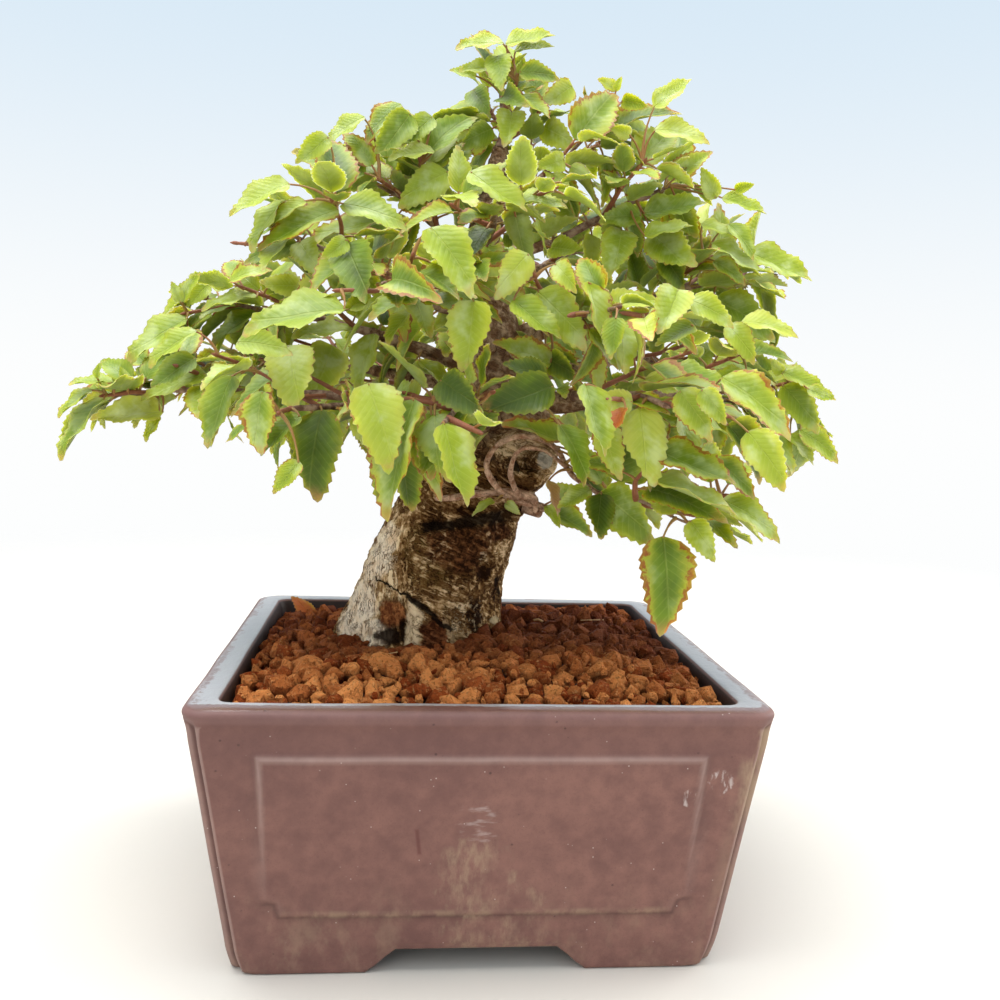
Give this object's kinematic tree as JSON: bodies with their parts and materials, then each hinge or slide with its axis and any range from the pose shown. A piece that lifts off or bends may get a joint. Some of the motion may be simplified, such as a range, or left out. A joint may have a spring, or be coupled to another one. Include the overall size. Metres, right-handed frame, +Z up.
{
  "type": "korean hornbeam bonsai",
  "caption": "Korean hornbeam bonsai: a short thick trunk under a broad dome of toothed leaves, rooted in clay grains in a square footed pot.",
  "frame": {"origin": "on the table under the centre of the object's bounding box, within two millimetres of the middle of the pot's foot", "axes": "+Z up; -Y is the side that faces the viewer; +X to the viewer's right"},
  "size_m": [0.2572, 0.2043, 0.2643],
  "materials": {
    "pot": "matte unglazed brown-mauve stoneware",
    "soil": "dry porous baked-clay grains",
    "drain_mesh": "dull black plastic",
    "bark": "rough grey-brown bark",
    "leaves": "thin satin green leaf on red-brown twigs"
  },
  "bodies": {
    "root": {"pot": "pot", "soil": "soil", "drain_mesh": "drain_mesh", "trunk": "bark", "spray_left_low": "leaves", "spray_left_front_low": "leaves", "spray_left_mid": "leaves", "spray_left_back": "leaves", "spray_left_upper": "leaves", "spray_left_top": "leaves", "spray_top_right": "leaves", "spray_right_upper": "leaves", "spray_right_mid": "leaves", "spray_right_low": "leaves", "spray_right_back": "leaves", "spray_right_front": "leaves", "spray_front_low": "leaves", "spray_front_right": "leaves", "spray_front_left": "leaves", "spray_front_top": "leaves", "spray_back_low_left": "leaves", "spray_back_low_right": "leaves", "spray_back_mid": "leaves", "spray_back_upper_left": "leaves", "spray_back_upper_right": "leaves", "spray_low_shoot": "leaves", "spray_leader": "leaves"}
  },
  "joints": []
}
